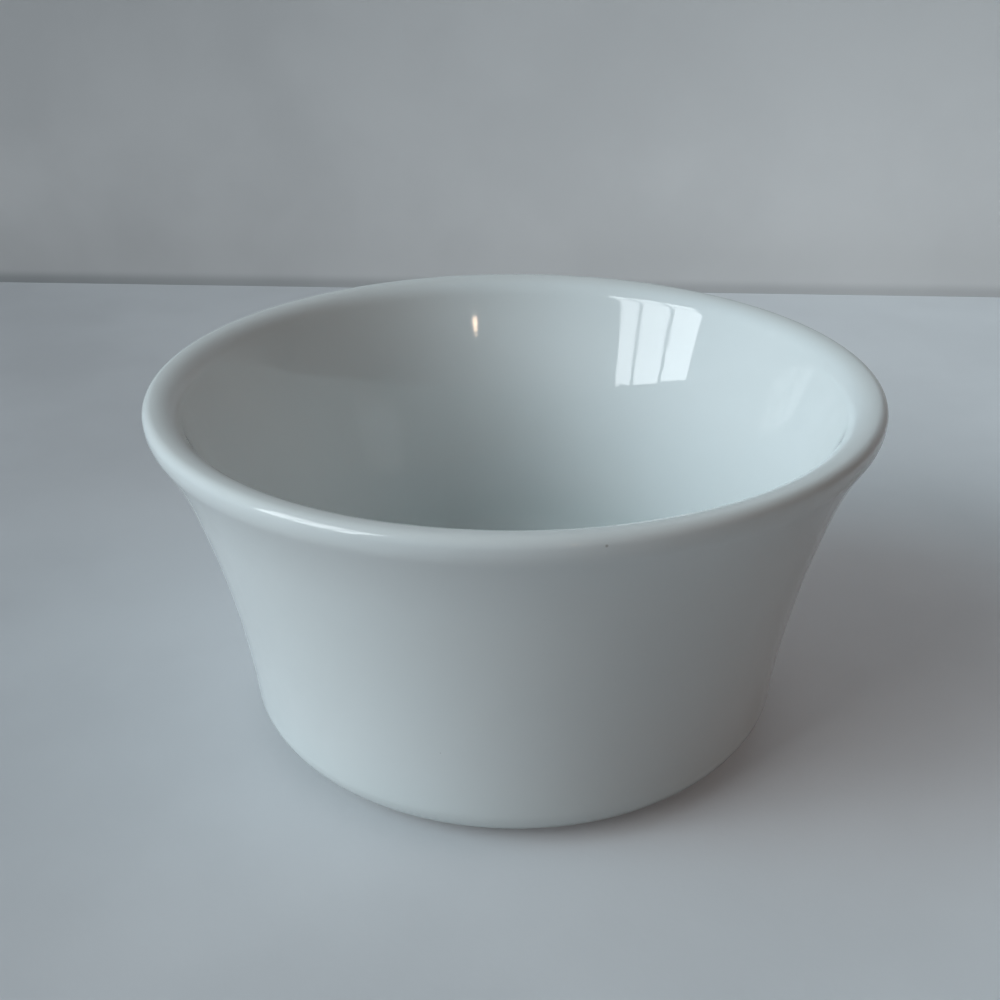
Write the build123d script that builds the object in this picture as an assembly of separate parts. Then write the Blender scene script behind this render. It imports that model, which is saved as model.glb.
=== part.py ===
from build123d import *
from math import acos, atan2, cos, degrees, hypot, radians, sin, tan
import os

# A flared, footed ramekin of white glazed porcelain. Sizes are in millimetres and degrees.
# The origin is the middle of the face that the pot stands on, and +Z is its axis.

# The pot over its glaze
RIM_RADIUS = 45.0
HEIGHT = 45.8
GLAZE_THICKNESS = 0.25

# Rolled lip: a small round on top, a fuller one below its widest place, one inside and a long soft neck below
LIP_TOP_ROUND = 1.2
LIP_UNDER_ROUND = 4.2
LIP_INNER_ROUND = 3.6
NECK_ROUND = 40.0

# Outer wall: one hollow arc, nearly upright at the heel, leaning out towards the lip
WALL_LOW_RADIUS = 35.0
WALL_LOW_LEAN = 5.1
WALL_TOP_LEAN = 21.8

# Heel: the round that turns the wall in under the pot, just clear of the table
HEEL_ROUND = 5.0
HEEL_LIFT = 0.6

# Inside: a leaning wall, a round corner and a flat floor
INSIDE_TOP_LEAN = 19.75
INSIDE_LOW_LEAN = 11.5
CORNER_ROUND = 8.0
FLOOR_LEVEL = 5.0

# Foot ring with eased edges, and the shallow domed recess inside it
FOOT_OUTER_RADIUS = 29.1
FOOT_ROOT_RADIUS = 29.5
FOOT_INNER_RADIUS = 26.3
FOOT_EDGE_ROUND = 0.35
RECESS_RADIUS = 25.6
RECESS_EDGE_HEIGHT = 1.3
RECESS_MIDDLE_HEIGHT = 1.8


# The outline is drawn in the plane through the axis: each point is (radius, height)


def beside(point, distance, lean):
    """The point that far out from another, square to a wall that leans out by lean degrees."""
    slope = radians(lean)
    return (point[0] + distance * cos(slope), point[1] - distance * sin(slope))


def direction(start, end):
    """The direction from one point to another, in degrees from straight out."""
    return degrees(atan2(end[1] - start[1], end[0] - start[0]))


def arc(centre, radius, start, end):
    """An arc about centre from one direction to another, in degrees from straight out."""
    return CenterArc(centre, radius, start, end - start)


def wall_round(rise, low_lean, top_lean):
    """The radius of an arc that climbs by rise while its lean goes from low_lean to top_lean."""
    return rise / (sin(radians(top_lean)) - sin(radians(low_lean)))


# Lip: its top and under rounds meet at the widest place, its top and inner rounds at the highest
WIDEST_HEIGHT = HEIGHT - LIP_TOP_ROUND
LIP_TOP_CENTRE = (RIM_RADIUS - LIP_TOP_ROUND, WIDEST_HEIGHT)
LIP_UNDER_CENTRE = (RIM_RADIUS - LIP_UNDER_ROUND, WIDEST_HEIGHT)
LIP_INNER_CENTRE = (LIP_TOP_CENTRE[0], HEIGHT - LIP_INNER_ROUND)

# Heel and outer wall share a tangent where the wall starts
WALL_LOW = (WALL_LOW_RADIUS, HEEL_LIFT + HEEL_ROUND * (1 - sin(radians(WALL_LOW_LEAN))))
WALL_ROUND = wall_round(WIDEST_HEIGHT - WALL_LOW[1], WALL_LOW_LEAN, WALL_TOP_LEAN)
WALL_CENTRE = beside(WALL_LOW, WALL_ROUND, WALL_LOW_LEAN)
HEEL_CENTRE = beside(WALL_LOW, -HEEL_ROUND, WALL_LOW_LEAN)


def neck_centre():
    """The middle of the round that touches both the wall and the underside of the lip."""
    across = WALL_CENTRE[0] - LIP_UNDER_CENTRE[0]
    down = WALL_CENTRE[1] - LIP_UNDER_CENTRE[1]
    apart = hypot(across, down)
    to_lip = LIP_UNDER_ROUND + NECK_ROUND
    to_wall = WALL_ROUND - NECK_ROUND
    turn = degrees(acos((apart**2 + to_lip**2 - to_wall**2) / (2 * apart * to_lip)))
    return beside(LIP_UNDER_CENTRE, to_lip, turn - direction(LIP_UNDER_CENTRE, WALL_CENTRE))


NECK_CENTRE = neck_centre()
NECK_TO_LIP = direction(NECK_CENTRE, LIP_UNDER_CENTRE)
WALL_TO_NECK = direction(WALL_CENTRE, NECK_CENTRE)

# Inside wall, from where the lip's round ends to where the corner begins
INSIDE_TOP = beside(LIP_INNER_CENTRE, -LIP_INNER_ROUND, INSIDE_TOP_LEAN)
INSIDE_LOW_HEIGHT = FLOOR_LEVEL + CORNER_ROUND * (1 - sin(radians(INSIDE_LOW_LEAN)))
INSIDE_ROUND = wall_round(INSIDE_TOP[1] - INSIDE_LOW_HEIGHT, INSIDE_LOW_LEAN, INSIDE_TOP_LEAN)
INSIDE_CENTRE = beside(INSIDE_TOP, INSIDE_ROUND, INSIDE_TOP_LEAN)
CORNER_CENTRE = beside(INSIDE_CENTRE, -INSIDE_ROUND - CORNER_ROUND, INSIDE_LOW_LEAN)


def glazed_outline(depth):
    """The glazed surface, or the line that far below it, from under the heel over the lip to the floor's middle."""
    floor = FLOOR_LEVEL - depth
    return [
        arc(HEEL_CENTRE, HEEL_ROUND - depth, -90, -WALL_LOW_LEAN),
        arc(WALL_CENTRE, WALL_ROUND + depth, 180 - WALL_LOW_LEAN, WALL_TO_NECK),
        arc(NECK_CENTRE, NECK_ROUND + depth, WALL_TO_NECK, NECK_TO_LIP),
        arc(LIP_UNDER_CENTRE, LIP_UNDER_ROUND - depth, NECK_TO_LIP - 180, 0),
        arc(LIP_TOP_CENTRE, LIP_TOP_ROUND - depth, 0, 90),
        arc(LIP_INNER_CENTRE, LIP_INNER_ROUND - depth, 90, 180 - INSIDE_TOP_LEAN),
        arc(INSIDE_CENTRE, INSIDE_ROUND - depth, 180 - INSIDE_TOP_LEAN, 180 - INSIDE_LOW_LEAN),
        arc(CORNER_CENTRE, CORNER_ROUND + depth, -INSIDE_LOW_LEAN, -90),
        Line((CORNER_CENTRE[0], floor), (0, floor)),
    ]


def recess_outline(depth):
    """The dome of the recess under the pot, or the line that far above it, from its edge to the middle."""
    rise = RECESS_MIDDLE_HEIGHT - RECESS_EDGE_HEIGHT
    dome_radius = (RECESS_RADIUS**2 + rise**2) / (2 * rise)
    centre = (0, RECESS_MIDDLE_HEIGHT - dome_radius)
    radius = dome_radius + depth
    return arc(centre, radius, degrees(acos(RECESS_RADIUS / radius)), 90)


def foot_outline(recess_edge, bare_level):
    """The bare ring that the pot stands on, from under the heel round both eased edges to the recess."""
    root = (FOOT_ROOT_RADIUS, bare_level)
    outer_slope = direction((FOOT_OUTER_RADIUS, 0), root)
    inner_slope = 180 - direction((FOOT_INNER_RADIUS, 0), recess_edge)
    outer_middle = (FOOT_OUTER_RADIUS - FOOT_EDGE_ROUND * tan(radians(outer_slope / 2)), FOOT_EDGE_ROUND)
    inner_middle = (FOOT_INNER_RADIUS + FOOT_EDGE_ROUND * tan(radians(inner_slope / 2)), FOOT_EDGE_ROUND)
    outer_edge = arc(outer_middle, FOOT_EDGE_ROUND, outer_slope - 90, -90)
    inner_edge = arc(inner_middle, FOOT_EDGE_ROUND, -90, -90 - inner_slope)
    return [
        Line((HEEL_CENTRE[0], bare_level), root),
        Line(root, outer_edge @ 0),
        outer_edge,
        Line(outer_edge @ 1, inner_edge @ 0),
        inner_edge,
        Line(inner_edge @ 1, recess_edge),
    ]


def turned(edges):
    """The solid of revolution whose half section those edges enclose."""
    return revolve(Plane.XZ * make_face(edges), Axis.Z)


def porcelain_body():
    """The fired clay: wall, lip, floor and foot ring in one casting. Only the foot ring is left bare."""
    dome = recess_outline(GLAZE_THICKNESS)
    foot = foot_outline((RECESS_RADIUS, (dome @ 0).Y), HEEL_LIFT + GLAZE_THICKNESS)
    axis = Line((0, (dome @ 1).Y), (0, FLOOR_LEVEL - GLAZE_THICKNESS))
    return turned(glazed_outline(GLAZE_THICKNESS) + foot + [dome, axis])


def glaze_coat():
    """The glass skin over the inside, the lip and the outside, wiped off below the heel."""
    wiped_edge = Line((HEEL_CENTRE[0], HEEL_LIFT), (HEEL_CENTRE[0], HEEL_LIFT + GLAZE_THICKNESS))
    axis = Line((0, FLOOR_LEVEL), (0, FLOOR_LEVEL - GLAZE_THICKNESS))
    return turned(glazed_outline(0) + glazed_outline(GLAZE_THICKNESS) + [wiped_edge, axis])


def underside_glaze():
    """The round patch of glaze in the recess, cut off from the rest by the bare foot ring."""
    surface = recess_outline(0)
    buried = recess_outline(GLAZE_THICKNESS)
    wiped_edge = Line(surface @ 0, buried @ 0)
    axis = Line((0, RECESS_MIDDLE_HEIGHT), (0, RECESS_MIDDLE_HEIGHT + GLAZE_THICKNESS))
    return turned([surface, buried, wiped_edge, axis])


os.makedirs("parts", exist_ok=True)
export_step(porcelain_body(), "parts/porcelain_body.step")
export_step(glaze_coat(), "parts/glaze_coat.step")
export_step(underside_glaze(), "parts/underside_glaze.step")
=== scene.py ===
import math

import bmesh
import bpy
from mathutils import Matrix, Vector, noise


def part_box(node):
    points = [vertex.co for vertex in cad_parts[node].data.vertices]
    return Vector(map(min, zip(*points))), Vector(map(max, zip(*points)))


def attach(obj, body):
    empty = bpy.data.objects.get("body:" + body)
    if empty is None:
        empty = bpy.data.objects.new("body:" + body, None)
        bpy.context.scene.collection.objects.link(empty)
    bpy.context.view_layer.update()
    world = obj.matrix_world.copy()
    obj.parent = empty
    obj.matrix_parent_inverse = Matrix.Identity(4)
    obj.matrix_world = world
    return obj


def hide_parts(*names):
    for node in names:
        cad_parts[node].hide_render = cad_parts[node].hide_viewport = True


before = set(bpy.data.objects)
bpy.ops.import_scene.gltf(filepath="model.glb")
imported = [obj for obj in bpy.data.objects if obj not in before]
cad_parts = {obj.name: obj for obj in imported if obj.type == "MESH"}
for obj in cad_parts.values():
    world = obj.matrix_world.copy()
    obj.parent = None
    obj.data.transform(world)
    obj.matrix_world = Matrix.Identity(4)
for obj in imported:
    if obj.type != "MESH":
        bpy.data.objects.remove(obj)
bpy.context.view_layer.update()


# Fired clay
# The ramekin is slip cast in one piece from white porcelain: floor, heel, flared wall, lip and foot ring.
# The kiln leaves it a hair out of round. Glaze covers all of it but the foot ring, ground flat to stand on.

MM = 0.001
rim_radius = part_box("glaze_coat")[1].x
pot_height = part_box("glaze_coat")[1].z
glaze_thickness = 0.25 * MM

lip_top_round = 1.2 * MM
lip_under_round = 4.2 * MM
lip_inner_round = 3.6 * MM
neck_round = 40.0 * MM
wall_low_radius = 35.0 * MM
wall_low_lean = math.radians(5.1)
wall_top_lean = math.radians(21.8)
heel_round = 5.0 * MM
heel_lift = 0.6 * MM
inside_top_lean = math.radians(19.75)
inside_low_lean = math.radians(11.5)
corner_round = 8.0 * MM
floor_level = 5.0 * MM

foot_outer_radius = 29.1 * MM
foot_root_radius = 29.5 * MM
foot_inner_radius = 26.3 * MM
foot_edge_round = 0.35 * MM
recess_radius = 25.6 * MM
recess_edge_height = 1.3 * MM
recess_middle_height = 1.8 * MM

half_turn = math.pi
quarter_turn = math.pi / 2
fewest_steps = 3


def beside(point, distance, lean):
    """The point that far out from another, square to a wall that leans out. A point is (radius, height)."""
    return (point[0] + distance * math.cos(lean), point[1] - distance * math.sin(lean))


def direction(start, end):
    """The direction from one point to another, turned up from straight out."""
    return math.atan2(end[1] - start[1], end[0] - start[0])


def arc_radius(rise, low_lean, top_lean):
    """The radius of an arc that climbs by rise while its lean goes from low_lean to top_lean."""
    return rise / (math.sin(top_lean) - math.sin(low_lean))


def arc(centre, radius, start, end, spacing, deeper=0.0):
    """Points round centre from one direction to another. A deeper line has as many points as the surface."""
    steps = max(fewest_steps, math.ceil(abs(end - start) * radius / spacing))
    reach = radius + deeper
    turns = [start + (end - start) * i / steps for i in range(steps + 1)]
    return [(centre[0] + reach * math.cos(t), centre[1] + reach * math.sin(t)) for t in turns]


def straight(start, end, spacing):
    """Points from start to end, both included."""
    steps = max(1, math.ceil(math.dist(start, end) / spacing))
    shares = [i / steps for i in range(steps + 1)]
    return [(start[0] + (end[0] - start[0]) * s, start[1] + (end[1] - start[1]) * s) for s in shares]


def joined(stretches):
    """One line of points, without the point that each stretch shares with the one before."""
    line = list(stretches[0])
    for stretch in stretches[1:]:
        line += stretch[1:]
    return line


# Centres of the rounds that the outline follows
widest_height = pot_height - lip_top_round
lip_top_centre = (rim_radius - lip_top_round, widest_height)
lip_under_centre = (rim_radius - lip_under_round, widest_height)
lip_inner_centre = (rim_radius - lip_top_round, pot_height - lip_inner_round)
wall_low = (wall_low_radius, heel_lift + heel_round * (1 - math.sin(wall_low_lean)))
wall_round = arc_radius(widest_height - wall_low[1], wall_low_lean, wall_top_lean)
wall_centre = beside(wall_low, wall_round, wall_low_lean)
heel_centre = beside(wall_low, -heel_round, wall_low_lean)
inside_top = beside(lip_inner_centre, -lip_inner_round, inside_top_lean)
inside_low_height = floor_level + corner_round * (1 - math.sin(inside_low_lean))
inside_round = arc_radius(inside_top[1] - inside_low_height, inside_low_lean, inside_top_lean)
inside_centre = beside(inside_top, inside_round, inside_top_lean)
corner_centre = beside(inside_centre, -inside_round - corner_round, inside_low_lean)


def find_neck_centre():
    """The middle of the round that touches both the wall and the underside of the lip."""
    apart = math.dist(lip_under_centre, wall_centre)
    to_lip = lip_under_round + neck_round
    to_wall = wall_round - neck_round
    turn = math.acos((apart**2 + to_lip**2 - to_wall**2) / (2 * apart * to_lip))
    return beside(lip_under_centre, to_lip, turn - direction(lip_under_centre, wall_centre))


neck_centre = find_neck_centre()
wall_to_neck = direction(wall_centre, neck_centre)
neck_to_lip = direction(neck_centre, lip_under_centre)


def glazed_line(depth, spacing):
    """The glazed surface, or the line that far below it, from the heel over the lip to the floor's middle."""
    level = floor_level - depth
    return joined([
        arc(heel_centre, heel_round, -quarter_turn, -wall_low_lean, spacing / 2, -depth),
        arc(wall_centre, wall_round, half_turn - wall_low_lean, wall_to_neck, spacing, depth),
        arc(neck_centre, neck_round, wall_to_neck, neck_to_lip, spacing, depth),
        arc(lip_under_centre, lip_under_round, neck_to_lip - half_turn, 0, spacing / 2, -depth),
        arc(lip_top_centre, lip_top_round, 0, quarter_turn, spacing / 4, -depth),
        arc(lip_inner_centre, lip_inner_round, quarter_turn, half_turn - inside_top_lean,
            spacing / 3, -depth),
        arc(inside_centre, inside_round, half_turn - inside_top_lean, half_turn - inside_low_lean,
            spacing, -depth),
        arc(corner_centre, corner_round, -inside_low_lean, -quarter_turn, spacing, depth),
        straight((corner_centre[0], level), (0, level), spacing),
    ])


def recess_line(depth, spacing):
    """The shallow dome under the pot, or the line that far above it, from its middle to its edge."""
    rise = recess_middle_height - recess_edge_height
    dome_radius = (recess_radius**2 + rise**2) / (2 * rise)
    centre = (0, recess_middle_height - dome_radius)
    edge = math.acos(recess_radius / (dome_radius + depth))
    return arc(centre, dome_radius, quarter_turn, edge, spacing, depth)


def foot_line(spacing):
    """The bare foot ring, from the recess round its two eased edges to the wiped line under the heel."""
    top = heel_lift + glaze_thickness
    inner_slope = math.atan2(recess_edge_height + glaze_thickness, foot_inner_radius - recess_radius)
    outer_slope = math.atan2(top, foot_root_radius - foot_outer_radius)
    inner_middle = (foot_inner_radius + foot_edge_round * math.tan(inner_slope / 2), foot_edge_round)
    outer_middle = (foot_outer_radius - foot_edge_round * math.tan(outer_slope / 2), foot_edge_round)
    inner_edge = arc(inner_middle, foot_edge_round, -quarter_turn - inner_slope, -quarter_turn, spacing)
    outer_edge = arc(outer_middle, foot_edge_round, -quarter_turn, -quarter_turn + outer_slope, spacing)
    return joined([
        straight((recess_radius, recess_edge_height + glaze_thickness), inner_edge[0], spacing),
        inner_edge,
        straight(inner_edge[-1], outer_edge[0], spacing),
        outer_edge,
        straight(outer_edge[-1], (foot_root_radius, top), spacing),
        straight((foot_root_radius, top), (heel_centre[0], top), spacing),
    ])


# The kiln's small pulls: an oval mouth, and a rim that rises and falls
oval_size = 0.10 * MM
oval_turn = math.radians(35)
rim_dip = 0.06 * MM
rim_dip_turn = math.radians(110)


def fired(radius, height, turn):
    """Where a point of the true outline is after firing. It moves only inwards and down, most at the rim."""
    up = height / pot_height
    out = radius / rim_radius
    oval = oval_size * (math.cos(2 * (turn - oval_turn)) - 1)
    dip = rim_dip * (math.cos(2 * (turn - rim_dip_turn)) - 1)
    return radius + oval * up * out, height + dip * up**2 * out


turns_round = 360
turns = [2 * math.pi * i / turns_round for i in range(turns_round)]
nearly_nothing = 1e-9


def ring(radius, height, moved):
    """One ring of points round the axis. moved gives each point's own radius and height for its turn."""
    if radius < nearly_nothing:
        return [Vector((0, 0, moved(radius, height, 0)[1]))]
    points = []
    for turn in turns:
        r, z = moved(radius, height, turn)
        points.append(Vector((r * math.cos(turn), r * math.sin(turn), z)))
    return points


def finished(name, shape):
    """The mesh as a smooth object in the scene."""
    mesh = bpy.data.meshes.new(name)
    shape.to_mesh(mesh)
    shape.free()
    mesh.shade_smooth()
    piece = bpy.data.objects.new(name, mesh)
    bpy.context.scene.collection.objects.link(piece)
    return piece


def turned_piece(name, rings):
    """A closed mesh from rings of points, each joined to the next, with a point on the axis at either end."""
    shape = bmesh.new()
    rows = [[shape.verts.new(point) for point in points] for points in rings]
    for low, top_painted_shade in zip(rows, rows[1:]):
        for i in range(turns_round):
            j = (i + 1) % turns_round
            if len(low) == 1:
                shape.faces.new((low[0], top_painted_shade[j], top_painted_shade[i]))
            elif len(top_painted_shade) == 1:
                shape.faces.new((low[i], low[j], top_painted_shade[0]))
            else:
                shape.faces.new((low[i], low[j], top_painted_shade[j], top_painted_shade[i]))
    bmesh.ops.recalc_face_normals(shape, faces=shape.faces)
    return finished(name, shape)


hidden_spacing = 1.5 * MM
foot_spacing = 0.12 * MM
foot_wander = 0.06 * MM
foot_wave = 8.0 * MM


def fired_foot(radius, height, turn):
    """The fired shape, with the ring a little uneven where the mould's seam was scraped off by hand."""
    r, z = fired(radius, height, turn)
    place = Vector((math.cos(turn), math.sin(turn), 0)) * (r / foot_wave)
    return r + foot_wander * noise.noise(place), z


recess_roof = [ring(r, z, fired) for r, z in recess_line(glaze_thickness, hidden_spacing)]
foot_rings = [ring(r, z, fired_foot) for r, z in foot_line(foot_spacing)]
upper_clay = [ring(r, z, fired) for r, z in glazed_line(glaze_thickness, hidden_spacing)]
clay = turned_piece("fired_clay", recess_roof[:-1] + foot_rings + upper_clay[1:])


def link(tree, value, socket):
    """Feeds a socket from another socket, or sets it to a plain value."""
    if isinstance(value, bpy.types.NodeSocket):
        tree.links.new(value, socket)
    else:
        socket.default_value = value


def maths(tree, operation, first, second=0.0):
    """One sum, product or other piece of arithmetic on two sockets or plain values."""
    node = tree.nodes.new("ShaderNodeMath")
    node.operation = operation
    link(tree, first, node.inputs[0])
    link(tree, second, node.inputs[1])
    return node.outputs["Value"]


def spread(tree, value, low, top_painted_shade, new_low=0.0, new_high=1.0):
    """A value taken smoothly from one range to another, and held at its ends."""
    node = tree.nodes.new("ShaderNodeMapRange")
    node.interpolation_type = "SMOOTHSTEP"
    link(tree, value, node.inputs["Value"])
    link(tree, low, node.inputs["From Min"])
    link(tree, top_painted_shade, node.inputs["From Max"])
    link(tree, new_low, node.inputs["To Min"])
    link(tree, new_high, node.inputs["To Max"])
    return node.outputs["Result"]


def blend(tree, share, first, second):
    """From the first colour to the second, by share."""
    node = tree.nodes.new("ShaderNodeMix")
    node.data_type = "RGBA"
    link(tree, share, node.inputs["Factor"])
    # The colour sockets share their names with others of this node, so they are told apart by their order
    first_colour, second_colour = node.inputs[6:8]
    link(tree, first, first_colour)
    link(tree, second, second_colour)
    return node.outputs[2]


def cloud(tree, place, size, detail=2.0):
    """Soft noise from 0 to 1, with blots about as wide as size."""
    node = tree.nodes.new("ShaderNodeTexNoise")
    link(tree, place, node.inputs["Vector"])
    link(tree, maths(tree, "DIVIDE", 1.0, size), node.inputs["Scale"])
    node.inputs["Detail"].default_value = detail
    return node.outputs["Fac"]


def apart(tree, place, point):
    """How far a place is from a point."""
    node = tree.nodes.new("ShaderNodeVectorMath")
    node.operation = "DISTANCE"
    link(tree, place, node.inputs[0])
    link(tree, point, node.inputs[1])
    return node.outputs["Value"]


def axis_parts(tree, place):
    """How far a place lies from the pot's axis, and how high it is."""
    split = tree.nodes.new("ShaderNodeSeparateXYZ")
    link(tree, place, split.inputs["Vector"])
    across = maths(tree, "MULTIPLY", split.outputs["X"], split.outputs["X"])
    along = maths(tree, "MULTIPLY", split.outputs["Y"], split.outputs["Y"])
    return maths(tree, "SQRT", maths(tree, "ADD", across, along)), split.outputs["Z"]


def effect(name, inputs, outputs):
    """An empty shader node group. Returns its tree, its inputs by name and its outputs by name."""
    tree = bpy.data.node_groups.new(name, "ShaderNodeTree")
    for label, kind in inputs:
        tree.interface.new_socket(label, in_out="INPUT", socket_type=kind)
    for label, kind in outputs:
        tree.interface.new_socket(label, in_out="OUTPUT", socket_type=kind)
    start = tree.nodes.new("NodeGroupInput")
    end = tree.nodes.new("NodeGroupOutput")
    return tree, start.outputs, end.inputs


def use(tree, group, **values):
    """Places an effect in a material with its own values, and returns its outputs."""
    node = tree.nodes.new("ShaderNodeGroup")
    node.node_tree = group
    for label, value in values.items():
        link(tree, value, node.inputs[label.replace("_", " ")])
    return node.outputs


def new_material(name):
    """A material, its tree, its shader and the place on the object that its patterns follow."""
    material = bpy.data.materials.new(name)
    material.use_nodes = True
    tree = material.node_tree
    place = tree.nodes.new("ShaderNodeTexCoord").outputs["Object"]
    return material, tree, tree.nodes["Principled BSDF"], place


def feel(tree, shader, height, distance):
    """Lets the light feel a height as relief that deep."""
    node = tree.nodes.new("ShaderNodeBump")
    node.inputs["Distance"].default_value = distance
    link(tree, height, node.inputs["Height"])
    link(tree, node.outputs["Normal"], shader.inputs["Normal"])


# Specks that the firing leaves in any clay or glaze: here and there, each a round dot
kiln_specks, given, result = effect(
    "kiln specks",
    [("Place", "NodeSocketVector"), ("Spacing", "NodeSocketFloat"), ("Size", "NodeSocketFloat"),
     ("Share", "NodeSocketFloat")],
    [("Mask", "NodeSocketFloat")],
)
cells = kiln_specks.nodes.new("ShaderNodeTexVoronoi")
link(kiln_specks, given["Place"], cells.inputs["Vector"])
link(kiln_specks, maths(kiln_specks, "DIVIDE", 1.0, given["Spacing"]), cells.inputs["Scale"])
speck_reach = maths(kiln_specks, "DIVIDE", given["Size"], given["Spacing"])
speck_core = maths(kiln_specks, "MULTIPLY", speck_reach, 0.5)
dot = spread(kiln_specks, cells.outputs["Distance"], speck_reach, speck_core)
cell_draw = kiln_specks.nodes.new("ShaderNodeSeparateColor")
link(kiln_specks, cells.outputs["Color"], cell_draw.inputs["Color"])
chosen = maths(kiln_specks, "LESS_THAN", cell_draw.outputs["Red"], given["Share"])
link(kiln_specks, maths(kiln_specks, "MULTIPLY", dot, chosen), result["Mask"])


# Bare porcelain is a warm chalky white, rubbed grey where it has slid over tables
bare_white = (0.70, 0.67, 0.61, 1)
bare_shade = (0.57, 0.54, 0.48, 1)
rubbed_grey = (0.30, 0.29, 0.28, 1)
iron_brown = (0.16, 0.11, 0.07, 1)
clay_specks = {"Spacing": 2.2 * MM, "Size": 0.16 * MM, "Share": 0.25}
grain_size = 0.30 * MM
grain_contrast = (0.35, 0.65)
grain_relief = 0.02 * MM
grain_seen = (0.3, 0.7)
grain_roughness = (0.60, 0.85)
rubbed_depth = 0.10 * MM
rub_size = 6.0 * MM
rub_contrast = (0.40, 0.65)
rub_shares = (0.1, 0.6)
rub_polish = 0.3
grind_pitch = 0.18 * MM
grind_share = 0.15


def bare_porcelain():
    material, tree, shader, place = new_material("bare_porcelain")
    radius, height = axis_parts(tree, place)
    grain = cloud(tree, place, grain_size, detail=4.0)
    stands = spread(tree, height, rubbed_depth, rubbed_depth / 5)
    rubs = spread(tree, cloud(tree, place, rub_size, detail=3.0), *rub_contrast, *rub_shares)
    rubbed = maths(tree, "MULTIPLY", stands, rubs)
    specks = use(tree, kiln_specks, Place=place, **clay_specks)["Mask"]
    colour = blend(tree, spread(tree, grain, *grain_contrast), bare_shade, bare_white)
    colour = blend(tree, rubbed, colour, rubbed_grey)
    colour = blend(tree, specks, colour, iron_brown)
    link(tree, colour, shader.inputs["Base Color"])
    matt = spread(tree, grain, *grain_seen, *grain_roughness)
    polish = maths(tree, "MULTIPLY", rubbed, rub_polish)
    link(tree, maths(tree, "SUBTRACT", matt, polish), shader.inputs["Roughness"])
    grinding = maths(tree, "SINE", maths(tree, "MULTIPLY", radius, 2 * math.pi / grind_pitch))
    ground = maths(tree, "MULTIPLY", maths(tree, "MULTIPLY", grinding, stands), grind_share)
    feel(tree, shader, maths(tree, "ADD", grain, ground), grain_relief)
    return material


clay.data.materials.append(bare_porcelain())
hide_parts("porcelain_body")
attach(clay, "root")


# Glaze coat
# A clear glass, sprayed on the clay, which the second firing melts to a skin a quarter of a millimetre thick.
# It pools in the inside corner, thins over the lip, and was wiped back with a sponge under the heel.

glazed_spacing = 0.7 * MM
lip_thinning = 0.30
lip_reach = 3.0 * MM
corner_pool = 0.55
corner_reach = 7.0 * MM
edge_bead = 0.30
edge_reach = 2.2 * MM
ripple_share = 0.07
ripple_size = 8.0 * MM
pull_share = 0.12
pull_size = 24.0 * MM
edge_wander = 0.25 * MM
edge_wave = 5.0 * MM
edge_fade = 3.5 * MM
coat_edge_level = 1

pool_middle = (corner_centre[0] + corner_round * math.sin(quarter_turn / 2),
               corner_centre[1] - corner_round * math.cos(quarter_turn / 2))
lip_top = (lip_top_centre[0], pot_height)
wiped_line = (heel_centre[0], heel_lift)


def nearness(point, spot, reach):
    """1 at the spot, falling softly to 0 at reach."""
    gap = min(1.0, math.dist(point, spot) / reach)
    return (1 - gap * gap) ** 2


def glaze_share(point, turn):
    """How thick the glaze lies at a point of the skin, as a share of its usual thickness."""
    place = Vector((point[0] * math.cos(turn), point[0] * math.sin(turn), point[1]))
    share = 1 - lip_thinning * nearness(point, lip_top, lip_reach)
    share += corner_pool * nearness(point, pool_middle, corner_reach)
    share += edge_bead * nearness(point, wiped_line, edge_reach)
    share -= ripple_share * (1 + noise.noise(place / ripple_size))
    share -= pull_share * (1 + noise.noise(place / pull_size))
    return share


def wiped(radius, height, turn):
    """The fired shape, with the wiped line under the heel wandering as the sponge left it."""
    r, z = fired(radius, height, turn)
    hold = nearness((radius, height), wiped_line, edge_fade)
    if hold > 0:
        place = Vector((math.cos(turn), math.sin(turn), coat_edge_level)) * (radius / edge_wave)
        r += hold * edge_wander * noise.noise(place)
    return r, z


def skin_ring(skin, buried):
    """A ring of the glaze's outer surface, as far above the buried one as the glaze is thick there."""
    def lifted(radius, height, turn):
        share = glaze_share(skin, turn)
        r = buried[0] + (skin[0] - buried[0]) * share
        z = buried[1] + (skin[1] - buried[1]) * share
        return wiped(r, z, turn)
    return ring(skin[0], skin[1], lifted)


buried_line = glazed_line(glaze_thickness, glazed_spacing)
skin_line = glazed_line(0, glazed_spacing)
buried_rings = [ring(r, z, wiped) for r, z in buried_line]
skin_rings = [skin_ring(skin, buried) for skin, buried in zip(skin_line, buried_line)]
glaze = turned_piece("gloss_glaze", list(reversed(skin_rings)) + buried_rings)


# White porcelain seen through clear glaze: cool where it lies thick, warmer where it thins over the lip
glaze_white = (0.79, 0.81, 0.81, 1)
glaze_thick = (0.70, 0.77, 0.76, 1)
glaze_thin = (0.80, 0.79, 0.76, 1)
speck_brown = (0.20, 0.15, 0.11, 1)
spoon_grey = (0.62, 0.64, 0.64, 1)
glaze_bending = 1.60
coat_melt = {"Peel_Size": 1.6 * MM, "Drift_Size": 18 * MM, "Smear_Size": 14 * MM}
coat_specks = {"Spacing": 9 * MM, "Size": 0.12 * MM, "Share": 0.16}
coat_relief = 0.006 * MM
speck_pit = 0.8
inside_from = 36 * MM
inside_to = 33.5 * MM
pool_top = 17 * MM
pool_bottom = 6 * MM
lip_depth = 1.2 * MM
pool_tint = 0.6
lip_tint = 0.5
drift_tint = 0.15
smear_tint = 0.06
speck_tint = 0.75
gloss = 0.03
smear_roughness = 0.05
speck_roughness = 0.2
lip_specks = (
    (Vector((8.6, -44.1, 44.7)) * MM, 0.30 * MM),
    (Vector((31.2, -32.3, 44.8)) * MM, 0.22 * MM),
    (Vector((-36.4, 21.5, 44.9)) * MM, 0.20 * MM),
)

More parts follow.
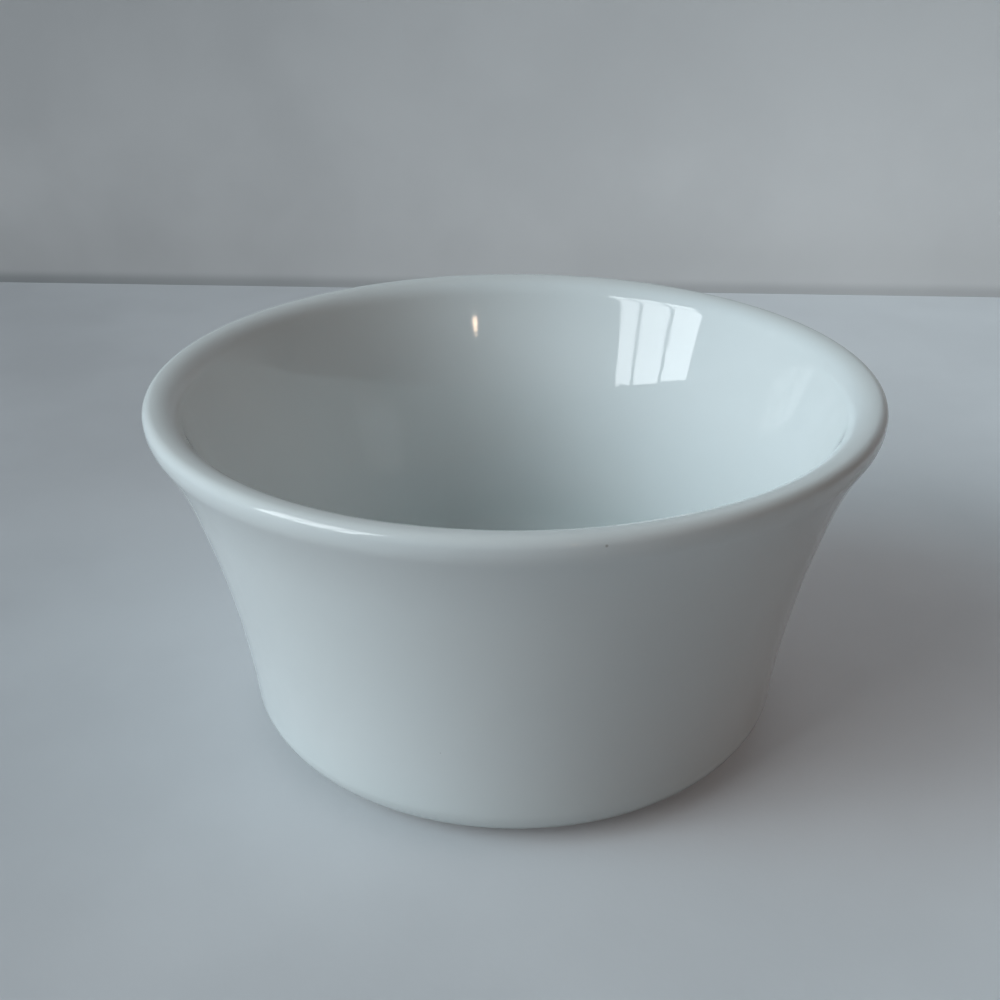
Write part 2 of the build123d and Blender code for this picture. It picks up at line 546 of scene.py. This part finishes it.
# How melted glaze looks close up: a faint orange peel, a slow drift of colour, and smears left by hands
melted_glaze, given, result = effect(
    "melted glaze",
    [("Place", "NodeSocketVector"), ("Peel Size", "NodeSocketFloat"), ("Drift Size", "NodeSocketFloat"),
     ("Smear Size", "NodeSocketFloat")],
    [("Peel", "NodeSocketFloat"), ("Drift", "NodeSocketFloat"), ("Smear", "NodeSocketFloat")],
)
link(melted_glaze, cloud(melted_glaze, given["Place"], given["Peel Size"], 1.0), result["Peel"])
drift = cloud(melted_glaze, given["Place"], given["Drift Size"], 3.0)
link(melted_glaze, spread(melted_glaze, drift, 0.3, 0.7), result["Drift"])
smear = cloud(melted_glaze, given["Place"], given["Smear Size"], 5.0)
link(melted_glaze, spread(melted_glaze, smear, 0.45, 0.75), result["Smear"])


def white_glaze():
    material, tree, shader, place = new_material("white_glaze")
    shader.inputs["IOR"].default_value = glaze_bending
    radius, height = axis_parts(tree, place)
    melt = use(tree, melted_glaze, Place=place, **coat_melt)
    specks = use(tree, kiln_specks, Place=place, **coat_specks)["Mask"]
    for spot, size in lip_specks:
        mark = spread(tree, apart(tree, place, spot), size, size / 2)
        specks = maths(tree, "MAXIMUM", specks, mark)
    inside = spread(tree, radius, inside_from, inside_to)
    pooled = maths(tree, "MULTIPLY", inside, spread(tree, height, pool_top, pool_bottom))
    on_lip = spread(tree, height, pot_height - lip_depth, pot_height)
    colour = blend(tree, maths(tree, "MULTIPLY", pooled, pool_tint), glaze_white, glaze_thick)
    colour = blend(tree, maths(tree, "MULTIPLY", on_lip, lip_tint), colour, glaze_thin)
    colour = blend(tree, maths(tree, "MULTIPLY", melt["Drift"], drift_tint), colour, glaze_thin)
    colour = blend(tree, maths(tree, "MULTIPLY", melt["Smear"], smear_tint), colour, spoon_grey)
    colour = blend(tree, maths(tree, "MULTIPLY", specks, speck_tint), colour, speck_brown)
    link(tree, colour, shader.inputs["Base Color"])
    smeared = maths(tree, "ADD", maths(tree, "MULTIPLY", melt["Smear"], smear_roughness), gloss)
    speckled = maths(tree, "MULTIPLY", specks, speck_roughness)
    link(tree, maths(tree, "ADD", smeared, speckled), shader.inputs["Roughness"])
    relief = maths(tree, "SUBTRACT", melt["Peel"], maths(tree, "MULTIPLY", specks, speck_pit))
    feel(tree, shader, relief, coat_relief)
    return material


glaze.data.materials.append(white_glaze())
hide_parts("glaze_coat")
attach(glaze, "root")


# Glaze in the recess
# The same glass in the round hollow under the pot, dabbed in with a brush and cut off by the bare foot ring.
# It is thinner than above, rolls up to a soft bead at its edge and has caught a little kiln dust.

recess_thickness = glaze_thickness
recess_spacing = 0.8 * MM
recess_bead = 0.35
recess_bead_reach = 2.0 * MM
brush_share = 0.25
brush_size = 5.0 * MM
recess_wander = 0.3 * MM
recess_edge_level = 3
recess_edge_pull = 8


def recess_wiped(radius, height, turn):
    """The fired shape, with the patch's edge drawn in a little unevenly."""
    r, z = fired(radius, height, turn)
    hold = (r / recess_radius) ** recess_edge_pull
    place = Vector((math.cos(turn), math.sin(turn), recess_edge_level)) * (recess_radius / edge_wave)
    return r - hold * recess_wander * (0.5 + 0.5 * noise.noise(place)), z


def recess_skin_ring(skin, roof):
    """A ring of the patch's surface, as far below its roof as the brush left the glaze thick there."""
    def lowered(radius, height, turn):
        place = Vector((radius * math.cos(turn), radius * math.sin(turn), 0))
        share = 1 - brush_share * (0.5 + 0.5 * noise.noise(place / brush_size))
        share += recess_bead * nearness(skin, (recess_radius, recess_edge_height), recess_bead_reach)
        r = roof[0] + (skin[0] - roof[0]) * share
        z = roof[1] + (skin[1] - roof[1]) * share
        return recess_wiped(r, z, turn)
    return ring(skin[0], skin[1], lowered)


recess_skin_line = recess_line(0, recess_spacing)
recess_roof_line = recess_line(recess_thickness, recess_spacing)
recess_skin = [recess_skin_ring(skin, roof) for skin, roof in zip(recess_skin_line, recess_roof_line)]
recess_back = [ring(r, z, recess_wiped) for r, z in recess_roof_line]
recess_patch = turned_piece("recess_glaze", recess_skin + list(reversed(recess_back)))

# Its finish is the coat's, less even, with more specks and a duller gloss
recess_melt = {"Peel_Size": 1.2 * MM, "Drift_Size": 9 * MM, "Smear_Size": 5 * MM}
recess_specks = {"Spacing": 3.5 * MM, "Size": 0.16 * MM, "Share": 0.3}
recess_drift_tint = 0.5
recess_speck_tint = 0.7
recess_gloss = (0.08, 0.2)
recess_relief = 0.012 * MM
dust_bump = 0.8


def recess_glaze():
    material, tree, shader, place = new_material("recess_glaze")
    shader.inputs["IOR"].default_value = glaze_bending
    melt = use(tree, melted_glaze, Place=place, **recess_melt)
    specks = use(tree, kiln_specks, Place=place, **recess_specks)["Mask"]
    colour = blend(tree, maths(tree, "MULTIPLY", melt["Drift"], recess_drift_tint), glaze_white, glaze_thin)
    colour = blend(tree, maths(tree, "MULTIPLY", specks, recess_speck_tint), colour, speck_brown)
    link(tree, colour, shader.inputs["Base Color"])
    link(tree, spread(tree, melt["Smear"], 0, 1, *recess_gloss), shader.inputs["Roughness"])
    relief = maths(tree, "ADD", melt["Peel"], maths(tree, "MULTIPLY", specks, dust_bump))
    feel(tree, shader, relief, recess_relief)
    return material


recess_patch.data.materials.append(recess_glaze())
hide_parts("underside_glaze")
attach(recess_patch, "root")


# Table and wall
# A pale painted table with an eased far edge, and a matt painted wall a little way behind it, with painted
# shade at its foot in the gap between them. Both stand a little aslant. They are only the stage, so they are
# plain.

table_half_width = 1.6
table_front = -1.6
table_back = 0.190
table_edge_round = 4 * MM
table_edge_spacing = 1.1 * MM
wall_place = 0.230
aslant = math.tan(math.radians(2.9))
wall_height = 1.2
wall_drop = 0.3


def sheet_piece(name, profile):
    """A sheet swept along X from a line of (y, z) points."""
    shape = bmesh.new()
    sides = (-table_half_width, table_half_width)
    rows = [[shape.verts.new((x, y - x * aslant, z)) for x in sides] for y, z in profile]
    for first, second in zip(rows, rows[1:]):
        shape.faces.new((first[0], first[1], second[1], second[0]))
    piece = finished(name, shape)
    return piece


far_edge = arc((table_back, -table_edge_round), table_edge_round, quarter_turn, 0, table_edge_spacing)
table_line = [(table_front, 0)] + far_edge + [(table_back + table_edge_round, -wall_drop)]
table = sheet_piece("table", table_line)
wall = sheet_piece("wall", [(wall_place, -wall_drop), (wall_place, wall_height)])

# Where it is seen, the paint carries painted shade on the left that gives way to painted light on the right.
# What it throws back on the pot is even and darker, so that the front of the pot isn't lit more than the real
# one is.
table_painted_shade_end = (0.415, 0.41, 0.425, 1)
table_painted_light_end = (0.86, 0.86, 0.88, 1)
table_glow = 0.06
table_bounce = (0.49, 0.485, 0.49, 1)
table_roughness = 0.55
wall_painted_shade_end = (0.415, 0.42, 0.43, 1)
wall_painted_light_end = (0.84, 0.85, 0.86, 1)
wall_glow = 0.16
wall_bounce = (0.68, 0.69, 0.70, 1)
wall_roughness = 0.7
# Across this stretch the painted shade on the left gives way to painted light on the right
painted_shade_until = -0.16
painted_light_from = 0.14
patch_size = 60 * MM
patch_contrast = (0.35, 0.65)
patch_tint = 0.12
patch_roughness = 0.03
roller_size = 1.2 * MM
roller_relief = 0.02 * MM
# Painted shade in the gap at the wall's foot, darker on the left and paler on the right, between these
# heights
painted_shade_dark = (0.27, 0.28, 0.29, 1)
painted_shade_pale = (0.68, 0.69, 0.70, 1)
gap_top = -7.0 * MM
gap_bottom = -10.5 * MM
# Painted shade towards the top of the wall, rising to this share at this height
wall_shade_top = 0.09
wall_shade = 0.36


def seen_share(tree):
    """1 where a thing is seen, straight, in a mirror or through glass, and 0 where it only lights others."""
    ray = tree.nodes.new("ShaderNodeLightPath").outputs
    mirrored = maths(tree, "MAXIMUM", ray["Is Glossy Ray"], ray["Is Transmission Ray"])
    return maths(tree, "MAXIMUM", ray["Is Camera Ray"], mirrored)


def painted(name, grey, white, glow, bounce, roughness):
    """Matt paint with painted shade on the left giving way to painted light on the right, painted shade in
    the gap at its foot and towards its top, a faint cloudiness and a fine roller texture.
    """
    material, tree, shader, place = new_material(name)
    patches = spread(tree, cloud(tree, place, patch_size, detail=4.0), *patch_contrast)
    split = tree.nodes.new("ShaderNodeSeparateXYZ")
    link(tree, place, split.inputs["Vector"])
    # Painted shade on the left that gives way to painted light on the right, with a faint cloudiness of the
    # paint
    painted_light_and_patches = spread(tree, split.outputs["X"], painted_shade_until, painted_light_from, 0, 1 - patch_tint)
    painted_light_and_patches = maths(tree, "ADD", painted_light_and_patches, maths(tree, "MULTIPLY", patches, patch_tint))
    # Painted shade at the foot of the wall, in the gap below the table's edge
    gap_painted_shade = spread(tree, split.outputs["Z"], gap_top, gap_bottom)
    # Painted shade towards the top of the wall
    top_painted_shade = spread(tree, split.outputs["Z"], 0, wall_shade_top, 0, wall_shade)
    paint = blend(tree, gap_painted_shade, blend(tree, painted_light_and_patches, grey, white), blend(tree, painted_light_and_patches, painted_shade_dark, painted_shade_pale))
    paint = blend(tree, top_painted_shade, paint, painted_shade_dark)
    seen = seen_share(tree)
    link(tree, blend(tree, seen, bounce, paint), shader.inputs["Base Color"])
    link(tree, paint, shader.inputs["Emission Color"])
    link(tree, maths(tree, "MULTIPLY", seen, glow), shader.inputs["Emission Strength"])
    matt = spread(tree, patches, 0, 1, roughness, roughness + patch_roughness)
    link(tree, matt, shader.inputs["Roughness"])
    feel(tree, shader, cloud(tree, place, roller_size, detail=3.0), roller_relief)
    return material


table.data.materials.append(
    painted("table_paint", table_painted_shade_end, table_painted_light_end, table_glow, table_bounce, table_roughness))
wall.data.materials.append(
    painted("wall_paint", wall_painted_shade_end, wall_painted_light_end, wall_glow, wall_bounce, wall_roughness))


# Light
# A softbox in panes, as a window is, stands at the left front and gives the glaze its highlights. Broad cool
# light comes from the left, and a little warm light from the right. The room is plain where it is seen.

pot_middle = Vector((0, 0, pot_height / 2))
box_distance = 1.80
box_width = 1.04
box_height = 1.05
box_turn = math.radians(-120)
box_lift = math.radians(26)
pane_columns = (0.40, 0.37, 0.23)
pane_rows = (0.35, 0.65)
bar_width = 0.045
box_power = 14.9
box_colour = (0.93, 0.99, 1.03)


def toward(turn, lift):
    """The direction at that turn from +Y, clockwise from above, and that far above the table."""
    return Vector((math.sin(turn) * math.cos(lift), math.cos(turn) * math.cos(lift), math.sin(lift)))


def pane(name, along, up, width, height, power):
    """One rectangle of the softbox, at that place on its face, facing the pot."""
    outward = toward(box_turn, box_lift)
    facing = outward.to_track_quat("Z", "Y").to_matrix().to_4x4()
    lamp = bpy.data.lights.new(name, "AREA")
    lamp.shape = "RECTANGLE"
    lamp.size = width
    lamp.size_y = height
    lamp.energy = power
    lamp.color = box_colour
    holder = bpy.data.objects.new(name, lamp)
    holder.matrix_world = (Matrix.Translation(pot_middle + outward * box_distance) @ facing
                           @ Matrix.Translation((along, up, 0)))
    holder.visible_camera = False
    bpy.context.scene.collection.objects.link(holder)


glass_width = box_width - bar_width * (len(pane_columns) - 1)
glass_height = box_height - bar_width * (len(pane_rows) - 1)
top = box_height / 2
for row, row_share in enumerate(pane_rows):
    height = glass_height * row_share
    side = -box_width / 2
    for column, column_share in enumerate(pane_columns):
        width = glass_width * column_share
        power = box_power * row_share * column_share
        pane(f"softbox_{row}_{column}", side + width / 2, top - height / 2, width, height, power)
        side += width + bar_width
    top -= height + bar_width


# A small warm lamp far behind the camera, only bright enough to leave a spark in the glaze
spark_turn = math.radians(163)
spark_lift = math.radians(20)
spark_distance = 1.5
spark_radius = 0.025
spark_power = 0.5
spark_colour = (1.0, 0.72, 0.50)
spark = bpy.data.lights.new("spark", "POINT")
spark.shadow_soft_size = spark_radius
spark.energy = spark_power
spark.color = spark_colour
spark_holder = bpy.data.objects.new("spark", spark)
spark_holder.location = pot_middle + toward(spark_turn, spark_lift) * spark_distance
spark_holder.visible_camera = False
bpy.context.scene.collection.objects.link(spark_holder)

cool_turn = math.radians(-100)
cool_lift = math.radians(35)
cool_tightness = 50
cool_light = (3.45, 4.8, 5.35, 1)
warm_turn = math.radians(80)
warm_lift = math.radians(25)
warm_tightness = 12
warm_light = (0.52, 0.32, 0.22, 1)
room_seen = (0.36, 0.39, 0.41, 1)

world = bpy.data.worlds.new("room")
bpy.context.scene.world = world
world.use_nodes = True
room = world.node_tree
ray_way = room.nodes.new("ShaderNodeTexCoord").outputs["Generated"]


def soft_light(turn, lift, tightness, colour):
    """Light from one side of the room, which fades away from its middle faster with a higher tightness."""
    facing = room.nodes.new("ShaderNodeVectorMath")
    facing.operation = "DOT_PRODUCT"
    link(room, ray_way, facing.inputs[0])
    link(room, toward(turn, lift), facing.inputs[1])
    nearing = maths(room, "MULTIPLY", maths(room, "ADD", facing.outputs["Value"], 1.0), 0.5)
    lit = room.nodes.new("ShaderNodeBackground")
    link(room, colour, lit.inputs["Color"])
    link(room, maths(room, "POWER", nearing, tightness), lit.inputs["Strength"])
    return lit.outputs["Background"]


both = room.nodes.new("ShaderNodeAddShader")
link(room, soft_light(cool_turn, cool_lift, cool_tightness, cool_light), both.inputs[0])
link(room, soft_light(warm_turn, warm_lift, warm_tightness, warm_light), both.inputs[1])
plain = room.nodes["Background"]
link(room, room_seen, plain.inputs["Color"])
choice = room.nodes.new("ShaderNodeMixShader")
link(room, seen_share(room), choice.inputs["Fac"])
link(room, both.outputs["Shader"], choice.inputs[1])
link(room, plain.outputs["Background"], choice.inputs[2])
link(room, choice.outputs["Shader"], room.nodes["World Output"].inputs["Surface"])


# Camera
# Held close above the near side of the table, looking down across the mouth of the pot, a little to the left.

camera_place = Vector((0, -143.04, 98.02)) * MM
camera_down = math.radians(26.14)
camera_left = math.radians(0.73)
camera_roll = math.radians(0.17)
camera_lens = 43.93
sensor_width = 36.0
nearest_seen = 10 * MM

lens = bpy.data.cameras.new("camera")
lens.sensor_width = sensor_width
lens.lens = camera_lens
lens.clip_start = nearest_seen
camera = bpy.data.objects.new("camera", lens)
camera.matrix_world = (Matrix.Translation(camera_place)
                       @ Matrix.Rotation(camera_left, 4, "Z")
                       @ Matrix.Rotation(quarter_turn - camera_down, 4, "X")
                       @ Matrix.Rotation(-camera_roll, 4, "Z"))
bpy.context.scene.collection.objects.link(camera)
bpy.context.scene.camera = camera
bpy.context.scene.view_settings.view_transform = "Standard"
